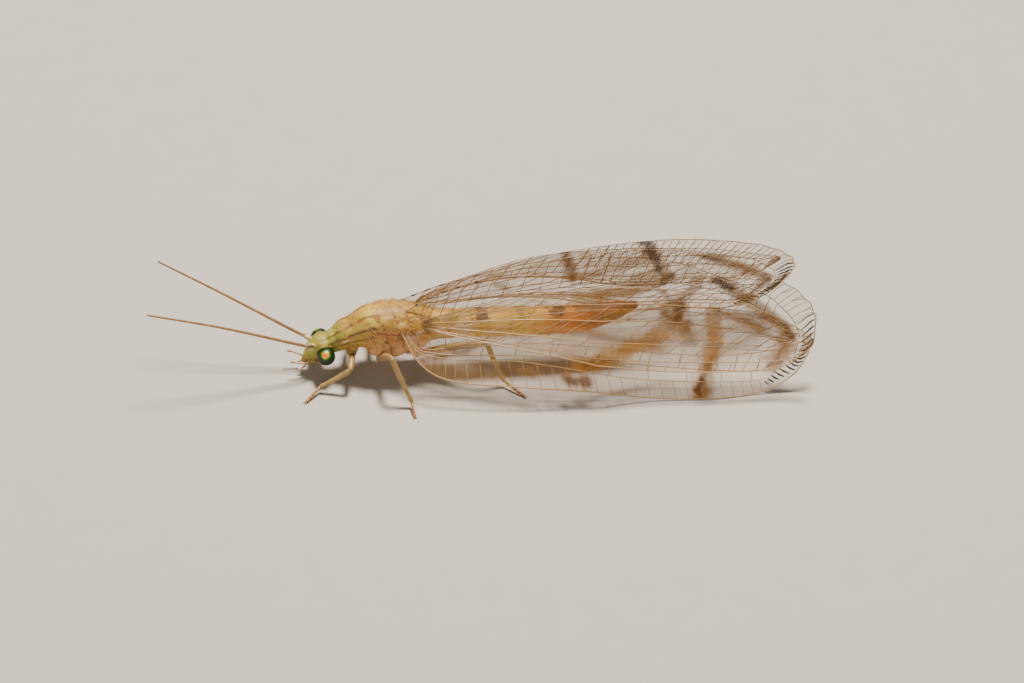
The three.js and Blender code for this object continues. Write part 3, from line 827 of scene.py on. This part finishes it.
# %% Vein lines
RADIUS = [(0.0, 0.72), (0.084, 0.83), (0.16, 0.77), (0.245, 0.742), (0.325, 0.75), (0.393, 0.764),
          (0.453, 0.785), (0.502, 0.79), (0.60, 0.80), (0.70, 0.81), (0.80, 0.825), (0.88, 0.82),
          (0.955, 0.72)]
SUBCOSTA = [(0.0, 0.78), (0.084, 0.87), (0.16, 0.815), (0.245, 0.79), (0.325, 0.80), (0.394, 0.84),
            (0.454, 0.872), (0.517, 0.886), (0.623, 0.885), (0.72, 0.89), (0.80, 0.895)]
SECTOR = [(0.10, 0.79), (0.20, 0.69), (0.32, 0.655), (0.45, 0.69), (0.6, 0.71), (0.74, 0.68),
          (0.86, 0.60), (0.955, 0.5)]
MEDIA = [(0.03, 0.60), (0.14, 0.50), (0.27, 0.44), (0.42, 0.43), (0.56, 0.42), (0.68, 0.42), (0.78, 0.46),
         (0.86, 0.53)]
CUBITUS = [(0.0, 0.5), (0.10, 0.36), (0.20, 0.28), (0.34, 0.24), (0.5, 0.23), (0.64, 0.24), (0.74, 0.29),
           (0.82, 0.40)]
# The vein inside the margin, and for each of its knots where its veinlet meets the margin
INNER = [(0.42, 0.06), (0.484, 0.054), (0.54, 0.075), (0.58, 0.092), (0.626, 0.122), (0.673, 0.143),
         (0.723, 0.164), (0.77, 0.184), (0.807, 0.242), (0.845, 0.31), (0.870, 0.41), (0.884, 0.50),
         (0.893, 0.594), (0.886, 0.66), (0.875, 0.728), (0.849, 0.795), (0.823, 0.825), (0.800, 0.868),
         (0.786, 0.91)]
MARGIN = [(0.415, 0), (0.478, 0), (0.535, 0), (0.58, 0), (0.632, 0), (0.685, 0), (0.745, 0), (0.80, 0),
          (0.86, 0), (0.925, 0), (0.98, 0), (0.997, 0.22), (0.997, 0.60), (0.99, 0.85), (0.957, 0.97),
          (0.903, 0.972), (0.872, 0.962), (0.836, 0.962), (0.80, 0.962)]
BARS_FROM = 9.6 / 18
BRANCHES = 14
VEINLET_STEP = 0.27
BAR_STEP = 0.205


def even_steps(knots, start, end, spacing):
    """Values of t between start and end at even distances along a line on the wing."""
    ts = spread(start, end - start, 301)
    points = [wing_point(*along(knots, t)) for t in ts]
    steps, run = [ts[0]], 0.0
    for t, a, b in zip(ts[1:], points, points[1:]):
        run += (b - a).length
        if run >= spacing:
            steps.append(t)
            run = 0.0
    return steps


def line(a, b, count=6, sway=0.0):
    """Points of a short vein between two places of the wing, bowed a little."""
    return [(a[0] + (b[0] - a[0]) * k / (count - 1),
             a[1] + (b[1] - a[1]) * k / (count - 1) + sway * math.sin(math.pi * k / (count - 1)))
            for k in range(count)]


def read(knots, u):
    """The place on a long vein at a given u."""
    return tuple(at_x(knots, u))


def long_vein(knots, count=70):
    return [tuple(along(knots, t)) for t in spread(0, 1, count)]


def fore_veins():
    """All veins of a forewing: a list of (points, radius at start, at end, darkness)."""
    veins = [
        ([(i / 80, 1.0) for i in range(78)], 0.036, 0.018, 0.25),
        ([(i / 90, 0.0) for i in range(91)] + [(1, v / 12) for v in range(13)] + [(0.99, 1), (0.975, 1)],
         0.017, 0.014, 0.75),
        (long_vein(RADIUS), 0.032, 0.016, 0.3), (long_vein(SUBCOSTA), 0.025, 0.014, 0.3),
        (long_vein(SECTOR), 0.022, 0.013, 0.55), (long_vein(MEDIA), 0.021, 0.013, 0.6),
        (long_vein(CUBITUS), 0.022, 0.013, 0.65), (long_vein(INNER[:12], 90), 0.015, 0.013, 0.85),
    ]

    def draw(points, start, end, dark):
        veins.append((points, start, end, dark))

    for i, u in enumerate(spread(0.035, 0.76, 34)):
        draw(line(read(SUBCOSTA, u), (u + 0.010, 1.0), 4), 0.011, 0.010, 0.45)
        if i % 3 == 1:
            draw(line(read(RADIUS, u), read(SUBCOSTA, u + 0.004), 3), 0.012, 0.012, 0.6)
    for u in spread(0.16, 0.72, 14):
        draw(line(read(SECTOR, u), read(RADIUS, u - 0.006), 3), 0.013, 0.013, 0.8)
    for i, u in enumerate(spread(0.22, 0.66, BRANCHES)):
        reach = 0.095 + 0.02 * (1 - i / BRANCHES)
        a, b = read(SECTOR, u), read(MEDIA, min(u + reach, 0.855))
        c = read(CUBITUS, min(u + reach + 0.035, 0.815))
        draw(line(a, b, 8, -0.02), 0.015, 0.013, 0.6)
        if u < 0.7:
            draw(line(b, c, 4), 0.013, 0.013, 0.7)
    for share, start, end, count in ((0.35, 0.31, 0.80, 10), (0.68, 0.36, 0.86, 12)):
        for u in spread(start, end - start, count):
            a, b = read(SECTOR, u), read(MEDIA, min(u + 0.1, 0.855))
            c, d = read(SECTOR, u + 0.035), read(MEDIA, min(u + 0.135, 0.858))
            p = tuple(m + (n - m) * share for m, n in zip(a, b))
            q = tuple(m + (n - m) * (share + 0.07) for m, n in zip(c, d))
            draw(line(p, q, 3), 0.014, 0.014, 1.0)
    for u in spread(0.075, 0.37, 12):
        draw(line(read(CUBITUS, u), (u + 0.008, 0), 5), 0.013, 0.014, 0.75)
    for u in (0.05, 0.09, 0.13, 0.17, 0.215):
        draw([(u - 0.008, 0.006), (u, 0.006), (u + 0.008, 0.006)], 0.034, 0.034, 1.5)
    for t in even_steps(INNER, 0.0, 0.5, 0.33):
        a = tuple(along(INNER, t))
        if a[0] < 0.80:
            draw(line(read(CUBITUS, max(a[0] - 0.01, 0)), a, 4), 0.013, 0.013, 0.75)
    for u in spread(0.09, 0.15, 4):
        draw(line(read(MEDIA, u), read(CUBITUS, u + 0.012), 3), 0.012, 0.012, 0.6)
        draw(line(read(SECTOR, u + 0.05), read(MEDIA, u + 0.03), 3), 0.012, 0.012, 0.6)
    for k, t in enumerate(even_steps(MARGIN, 0.0, BARS_FROM, VEINLET_STEP)):
        a, b = tuple(along(INNER, t)), tuple(along(MARGIN, t + 0.006))
        draw(line(a, b, 5), 0.013, 0.013, 0.9)
        if k % 2:
            fork = tuple(m + (n - m) * 0.45 for m, n in zip(a, b))
            draw(line(fork, tuple(along(MARGIN, t + 0.016)), 3), 0.011, 0.011, 0.9)
    bars = even_steps(MARGIN, BARS_FROM, 1.0, BAR_STEP)
    for k, t in enumerate(bars):
        a, b = along(INNER, t), along(MARGIN, t)
        thick = 0.030 + 0.018 * min(1, k / 3) - 0.014 * max(0, (k - len(bars) + 4) / 4)
        start, end = (tuple(m + (n - m) * share for m, n in zip(a, b)) for share in (0.06, 0.86))
        middle = tuple((m + n) / 2 for m, n in zip(start, end))
        draw([start, middle], 0.018, thick, 1.8)
        draw([middle, end], thick, 0.028, 1.8)
    return veins


def hind_veins():
    """A hind wing has the same plan with fewer veins."""
    radius, sector, media, cubitus = 0.90, 0.70, 0.42, 0.2
    veins = [([(i / 70, 1.0) for i in range(70)], 0.034, 0.018, 0.3),
             ([(i / 70, 0.0) for i in range(3, 71)] + [(1, v / 8) for v in range(9)], 0.015, 0.015, 0.45)]

    def draw(points, start, end, dark):
        veins.append((points, start, end, dark))

    for v in (radius, sector, media, cubitus):
        draw([(i / 60, v + 0.03 * math.sin(i / 9)) for i in range(58)], 0.026, 0.014, 0.4)
    for a, b, count in ((1.0, radius, 24), (radius, sector, 11), (sector, media, 12), (media, cubitus, 12),
                        (cubitus, 0.0, 30)):
        for u in spread(0.06, 0.86, count):
            slant = 0.05 if b < 0.6 else 0.01
            start = (u, a + 0.03 * math.sin(u * 60 / 9) * (a < 1))
            end = (min(u + slant, 0.99), b + 0.03 * math.sin((u + slant) * 60 / 9) * (b > 0))
            draw(line(start, end, 3), 0.013, 0.012, 0.6)
    for v in spread(0.05, 0.9, 12):
        draw(line((0.93, 0.5 + (v - 0.5) * 0.8), (0.995, v), 3), 0.011, 0.011, 0.7)
    return veins


# %% [markdown]
# ## Bands and clouds on the wing
# The membrane is clear, with smoky brown bands that follow the branches. A band is a few strokes,
# placed along the wing in millimetres and across it as a share. Each point of the membrane
# and of the veins stores how deep in a stroke it lies, and the finish reads that.

# %% Wing markings
STROKES = [
    # points as (x, v), half width in mm, ochre, dark core
    ([(9.61, 0.40), (9.47, 0.486), (8.97, 0.569), (8.45, 0.624), (7.93, 0.686), (7.40, 0.74), (6.76, 0.782),
      (6.08, 0.823)], 0.30, 0.9, 0.12),
    ([(9.60, 0.38), (9.45, 0.48)], 0.30, 0.5, 0.9),
    ([(7.0, 0.77), (6.2, 0.82)], 0.26, 0.5, 0.45),
    ([(5.59, 0.925), (5.93, 0.945), (6.25, 0.932)], 0.28, 0.6, 0.85),
    ([(10.73, 0.43), (10.72, 0.565), (10.70, 0.687), (10.55, 0.798), (10.33, 0.876), (10.21, 0.953)],
     0.33, 0.85, 0.12),
    ([(10.66, 0.72), (10.50, 0.82), (10.30, 0.90)], 0.26, 0.5, 0.6),
    ([(10.34, 0.875), (10.21, 0.95)], 0.26, 0.5, 0.95),
    ([(10.66, 0.172), (11.0, 0.18), (11.30, 0.20)], 0.24, 0.6, 1.0),
    ([(11.12, 0.185), (11.54, 0.231), (12.23, 0.294), (12.75, 0.349), (13.21, 0.42), (13.37, 0.541),
      (13.24, 0.663), (13.0, 0.736), (12.76, 0.80)], 0.32, 0.95, 0.15),
    ([(13.14, 0.40), (13.36, 0.49)], 0.24, 0.6, 0.85),
    ([(8.2, 0.0), (8.52, 0.045), (8.65, 0.10), (8.77, 0.15)], 0.26, 0.5, 0.9),
    ([(8.77, 0.15), (8.38, 0.204), (7.64, 0.277), (6.89, 0.328), (6.1, 0.36)], 0.34, 0.7, 0.08),
    ([(5.55, 0.0), (5.68, 0.079), (5.81, 0.177)], 0.24, 0.6, 0.5),
    ([(3.2, 0.10), (3.6, 0.16)], 0.16, 0.4, 0.3), ([(4.4, 0.90), (4.0, 0.88)], 0.2, 0.3, 0.3),
]
CHORD = 5.0


def stroke_depth(x, v, points, half_width):
    """1 in the middle of a stroke, 0 outside it."""
    best = 9.0
    for (ax, av), (bx, bv) in zip(points, points[1:]):
        dx, dv = bx - ax, (bv - av) * CHORD
        px, pv = x - ax, (v - av) * CHORD
        t = min(max((px * dx + pv * dv) / (dx * dx + dv * dv), 0), 1)
        best = min(best, math.hypot(px - t * dx, pv - t * dv))
    f = min(max(1.35 - best / half_width, 0), 1)
    return f * f * (3 - 2 * f)


def markings(u, v, hind=False):
    """How much ochre and how much dark brown the wing has at a place."""
    x = along(HIND_EDGE, u)[0] * (1 - v) + along(FRONT_EDGE, u)[0] * v
    wobble = 0.16 * math.sin(x * 9 + v * 31) + 0.1 * math.sin(x * 23 - v * 17)
    ochre = dark = 0.0
    for points, half_width, ochre_share, dark_share in STROKES:
        near = stroke_depth(x + wobble * 0.3, v + wobble * 0.06, points, half_width)
        ochre = max(ochre, near * ochre_share)
        core = stroke_depth(x + wobble * 0.3, v + wobble * 0.06, points, half_width * 0.62)
        dark = max(dark, core * dark_share)
    fade = 0.55 if hind else 1.0
    return ochre * fade, dark * fade


print("wing strokes:", len(STROKES))

# %% [markdown]
# ## Membranes
# A membrane starts as a flat grid, whose points are then set on the wing's surface. A slight pleat
# follows the veins, because a real membrane is folded like a fan. Solidify gives it two faces.

# %% Membranes
MEMBRANE = 0.016


def membrane(name, surface, columns, rows, hind, side):
    deselect()
    bpy.ops.mesh.primitive_grid_add(x_subdivisions=columns, y_subdivisions=rows, size=1)
    sheet = bpy.context.object
    sheet.name = name
    mesh = sheet.data
    places = [(vertex.co.x + 0.5, vertex.co.y + 0.5) for vertex in mesh.vertices]
    marks = []
    for vertex, (u, v) in zip(mesh.vertices, places):
        u = 1 - (1 - u) ** 1.15
        vertex.co = on_sheet(surface, u, v, side)
        marks.append((u, v, *markings(u, v, hind)))
    for index, label in enumerate(("run", "across", "ochre", "dark")):
        layer = mesh.attributes.new(label, "FLOAT", "POINT")
        layer.data.foreach_set("value", [m[index] for m in marks])
    wall = sheet.modifiers.new("wall", "SOLIDIFY")
    wall.thickness = MEMBRANE
    wall.offset = 0
    apply_all(sheet)
    face_outwards(sheet)
    return sheet


def label_wire(start, label):
    return start.node("ShaderNodeAttribute", {"attribute_name": label}, out=2)


def membrane_material():
    material, start, shader, objects = finish(
        "wing_membrane", roughness=0.16, ior=1.5, specular_ior_level=0.6, thin_film_thickness=420.0,
        thin_film_ior=1.56)
    place = in_mm(start, objects)[0]
    ochre, dark = label_wire(start, "ochre"), label_wire(start, "dark")
    run = label_wire(start, "run")
    cloud = place.noise(1.6, 4.0)
    fine = place.noise(9.0, 3.0)
    base = cloud.mix((0.44, 0.23, 0.055), (0.37, 0.18, 0.045))
    ridge = (1 - run.step(0.25, 0.6)) * (1 - label_wire(start, "across").step(0.15, 0.5))
    # painted sheen: a pinkish reflection on the membrane near the wing's root
    painted_sheen = (1 - run.step(0.1, 0.4)) * cloud.step(0.45, 0.62)
    base = (painted_sheen * 0.6).mix(base, (0.80, 0.60, 0.58))
    stain = (ochre * (0.75 + fine * 0.5)).clipped()
    core = (dark * (0.65 + fine * 0.7)).clipped()
    colour = stain.mix(base, (0.36, 0.16, 0.015))
    colour = core.mix(colour, (0.08, 0.03, 0.008))
    feed(shader, "Base Color", colour)
    alpha = (0.045 + cloud * 0.10 + ridge * 0.10 + stain * 0.44 + core * 0.34).clipped()
    feed(shader, "Alpha", alpha)
    dents(start, shader, fine + cloud, 0.25, 0.02)
    return material


membrane_finish = membrane_material()
for side_name, side in SIDES.items():
    fore = membrane(f"forewing_membrane_{side_name}", wing_point, 190, 64, False, side)
    settle(fore, membrane_finish, [f"forewing_{side_name}"])
    hind = membrane(f"hindwing_membrane_{side_name}", hind_point, 130, 44, True, side)
    settle(hind, membrane_finish, [f"hindwing_{side_name}"])

# %% [markdown]
# ## Veins
# Each vein is a thin tube that follows the membrane. Its radius is given at both ends, and the same
# strokes that stain the membrane darken it.

# %% Veins


def vein_object(name, surface, veins, side, hind):
    paths, shades = [], []
    for points, start, end, dark in veins:
        path = []
        for k, (u, v) in enumerate(points):
            share = k / max(1, len(points) - 1)
            u, v = within(u, v)
            point = on_sheet(surface, u, v, side)
            radius = start + (end - start) * share
            point.z = max(point.z, radius)
            path.append((point, radius))
            shades.append((point, dark, markings(u, v, hind)[1]))
        paths.append(path)
    obj = tubes(name, paths, sides=0)
    finder = KDTree(len(shades))
    for i, (point, _, _) in enumerate(shades):
        finder.insert(point, i)
    finder.balance()
    values = []
    for vertex in obj.data.vertices:
        _, i, _ = finder.find(vertex.co)
        values.append(min(1.6, shades[i][1] * 0.85 + shades[i][2] * 0.8))
    layer = obj.data.attributes.new("dark", "FLOAT", "POINT")
    layer.data.foreach_set("value", values)
    return obj


def vein_material():
    material, start, shader, objects = finish("wing_vein", roughness=0.38, coat_weight=0.1)
    place = in_mm(start, objects)[0]
    dark = label_wire(start, "dark")
    fine = place.noise(6.0, 3.0)
    shade = (dark + fine * 0.5 - 0.25).clipped()
    colour = shade.mix((0.50, 0.31, 0.13), (0.13, 0.06, 0.025))
    colour = dark.step(1.0, 1.3).mix(colour, (0.02, 0.015, 0.012))
    feed(shader, "Base Color", colour)
    feed(shader, "Roughness", fine * 0.2 + 0.3)
    return material


vein_finish = vein_material()
for side_name, side in SIDES.items():
    for label, surface, plan in (("fore", wing_point, fore_veins()), ("hind", hind_point, hind_veins())):
        veins = vein_object(f"{label}wing_veins_{side_name}", surface, plan, side, label == "hind")
        settle(veins, vein_finish, ())

# %% [markdown]
# ## Hairs
# Fine pale hairs stand on head, thorax, abdomen and legs, and along the wings' veins and edges. Each
# is a thin three-sided spike with a slight bend. A hair keeps a small patch of a map, at its root's
# place on the body, so that its colour can be baked.

# %% Hairs
HAIR_FLOOR = 0.004
BODY_HAIR, LEG_HAIR, WING_HAIR, EDGE_HAIR = 0.0042, 0.0036, 0.0032, 0.0030
BODY_TRIES = 9000
LEG_HAIRS_PER_MM = 34
EDGE_HAIRS, VEIN_HAIRS = 320, 170
BODY_FROM, BODY_LENGTH = -3.2, 12.0


def hair_mesh(name, roots, material):
    """Spikes from roots of (point, direction, length, radius, map place)."""
    points, faces, marks = [], [], []
    for root, direction, length, radius, (map_u, map_v) in roots:
        direction = direction.normalized()
        across = direction.orthogonal().normalized()
        other = direction.cross(across)
        droop = Vector((0.25, 0, -0.12)) * length
        base = len(points)
        for share, thick in ((0.0, 1.0), (0.5, 0.7)):
            centre = root + direction * length * share + droop * share * share
            for k in range(3):
                a = 2 * math.pi * k / 3
                points.append(centre + (across * math.cos(a) + other * math.sin(a)) * radius * thick)
        points.append(root + direction * length + droop)
        for k in range(base, len(points)):
            points[k].z = max(points[k].z, HAIR_FLOOR)
        tip = base + 6
        faces += [(base + 2, base + 1, base)]
        for k in range(3):
            n = (k + 1) % 3
            faces += [(base + k, base + n, base + 3 + n, base + 3 + k), (base + 3 + k, base + 3 + n, tip)]
        marks.append((map_u, map_v))
    mesh = bpy.data.meshes.new(name)
    mesh.from_pydata(points, [], faces)
    layer = mesh.uv_layers.new(name="OFBake")
    for polygon in mesh.polygons:
        map_u, map_v = marks[mesh.loops[polygon.loop_start].vertex_index // 7]
        for loop in polygon.loop_indices:
            k = mesh.loops[loop].vertex_index % 7
            layer.data[loop].uv = (map_u + 0.0015 * math.cos(k * 1.05), map_v + 0.0015 * math.sin(k * 1.05))
    obj = bpy.data.objects.new(name, mesh)
    bpy.context.collection.objects.link(obj)
    settle(obj, material, ())


def hair_material():
    material, start, shader, objects = finish("pale_hair", roughness=0.4, coat_weight=0.1)
    place = in_mm(start, objects)[0]
    gold = place.noise(3.0, 2.0)
    feed(shader, "Base Color", gold.mix((0.72, 0.58, 0.36), (0.50, 0.36, 0.18)))
    return material


def body_map(point):
    """A place on an unwrap of the body: along it and round it."""
    turn = math.atan2(point.y, point.z - 1.8) / (2 * math.pi)
    return (point.x - BODY_FROM) / BODY_LENGTH, 0.5 + turn * 0.98


hair_finish = hair_material()
roots = []
for polygon in rng.sample(list(skin.data.polygons), BODY_TRIES):
    centre, normal = polygon.center.copy(), polygon.normal.copy()
    in_eye = math.hypot(centre.x - EYE.x, centre.z - EYE.z) < 0.34 and abs(centre.y) > 0.2
    density = 0.42 if centre.x < 1.4 else 0.30
    if in_eye or rng.random() > density:
        continue
    length = 0.10 + 0.12 * rng.random() if centre.x > -1.9 else 0.05 + 0.06 * rng.random()
    lean = normal + Vector((0.5, 0, -0.1)) + Vector([rng.uniform(-0.25, 0.25) for _ in range(3)])
    roots.append((centre, lean, length, BODY_HAIR, body_map(centre)))
hair_mesh("body_hairs", roots, hair_finish)
print("body hairs:", len(roots))

settle(skin, body_finish, FLESH)

# %% Hairs on legs and wings
limb_roots = []
for side_name, side in SIDES.items():
    for joints in LEGS[side_name].values():
        placed = [Vector((x, y * side, z)) for x, y, z in joints]
        for a, b in zip(placed, placed[1:]):
            ahead = (b - a).normalized()
            for _ in range(int((b - a).length * LEG_HAIRS_PER_MM)):
                share = rng.random()
                ring = ahead.orthogonal().normalized()
                ring.rotate(Matrix.Rotation(rng.uniform(0, 6.28), 3, ahead).to_quaternion())
                root = a.lerp(b, share) + ring * 0.055
                if root.z > 0.05:
                    lean = ring + ahead * 0.8
                    place = ((root.x - BODY_FROM) / BODY_LENGTH, 0.5 + ring.z * 0.3)
                    limb_roots.append((root, lean, 0.07 + 0.06 * rng.random(), LEG_HAIR, place))
hair_mesh("leg_hairs", limb_roots, hair_finish)

fringe = []
for side in SIDES.values():
    for t in spread(0, 1, EDGE_HAIRS):
        u, v = along(MARGIN, t)
        a, b = wing_point(*within(u, v)), wing_point(*along(INNER, t))
        out = a - b
        a.y, out.y = a.y * side, out.y * side
        if a.z < 0.12:
            continue
        fringe.append((a, out.normalized() + Vector((0.3, 0, 0)), 0.09 + 0.04 * rng.random(), EDGE_HAIR,
                       (0.05 + 0.9 * t, 0.25 + 0.5 * (side > 0))))
    for knots in (RADIUS, SECTOR, MEDIA, CUBITUS, [(0.02, 1.0), (0.5, 1.0), (0.8, 1.0)]):
        for t in spread(0, 1, VEIN_HAIRS):
            u, v = along(knots, t)
            a = wing_point(*within(u, v))
            out = a - wing_point(*within(u, v), 0.1)
            a.y, out.y = a.y * side, out.y * side
            if a.z < 0.14:
                continue
            stray = Vector([rng.uniform(-0.3, 0.3) for _ in range(3)])
            lean = out.normalized() + Vector((0.9, 0, 0.2)) + stray
            fringe.append((a, lean, 0.10 + 0.05 * rng.random(), WING_HAIR, (0.05 + 0.9 * u, 0.1 + 0.8 * v)))
hair_mesh("wing_hairs", fringe, hair_finish)
print("limb hairs:", len(limb_roots), "wing hairs:", len(fringe))

# %% [markdown]
# ## Floor and light
# The insect stands on a plain pale floor in warm light: a strong panel above and a little behind, a
# weak one in front, and a faint even surround. A panel has a place and a size in millimetres.

# %% Floor and light
bpy.ops.mesh.primitive_plane_add(size=1.2, location=(0, 0, 0))
floor = bpy.context.object
floor.name = "floor"
floor_finish, start, shader, objects = finish("pale_floor", roughness=0.9)
grain = objects.noise(900.0, 2.0)
feed(shader, "Base Color", grain.mix((0.49, 0.455, 0.415), (0.46, 0.425, 0.385)))
floor.data.materials.append(floor_finish)


WARM_WHITE = (1.0, 0.92, 0.80)


def panel(name, place, power, size):
    bpy.ops.object.light_add(type="AREA", location=Vector(place) * MM)
    light = bpy.context.object
    light.name = name
    light.data.energy = power
    light.data.size = size * MM
    light.rotation_euler = (-Vector(place)).to_track_quat("-Z", "Y").to_euler()
    light.data.color = WARM_WHITE


panel("key_panel", (10, 40, 165), 0.74, 34)
panel("fill_panel", (-110, -190, 90), 0.17, 110)
world = bpy.data.worlds.new("surround")
bpy.context.scene.world = world
world.use_nodes = True
world.node_tree.nodes["Background"].inputs["Color"].default_value = (0.94, 0.88, 0.80, 1)
world.node_tree.nodes["Background"].inputs["Strength"].default_value = 0.14
print("stage set")
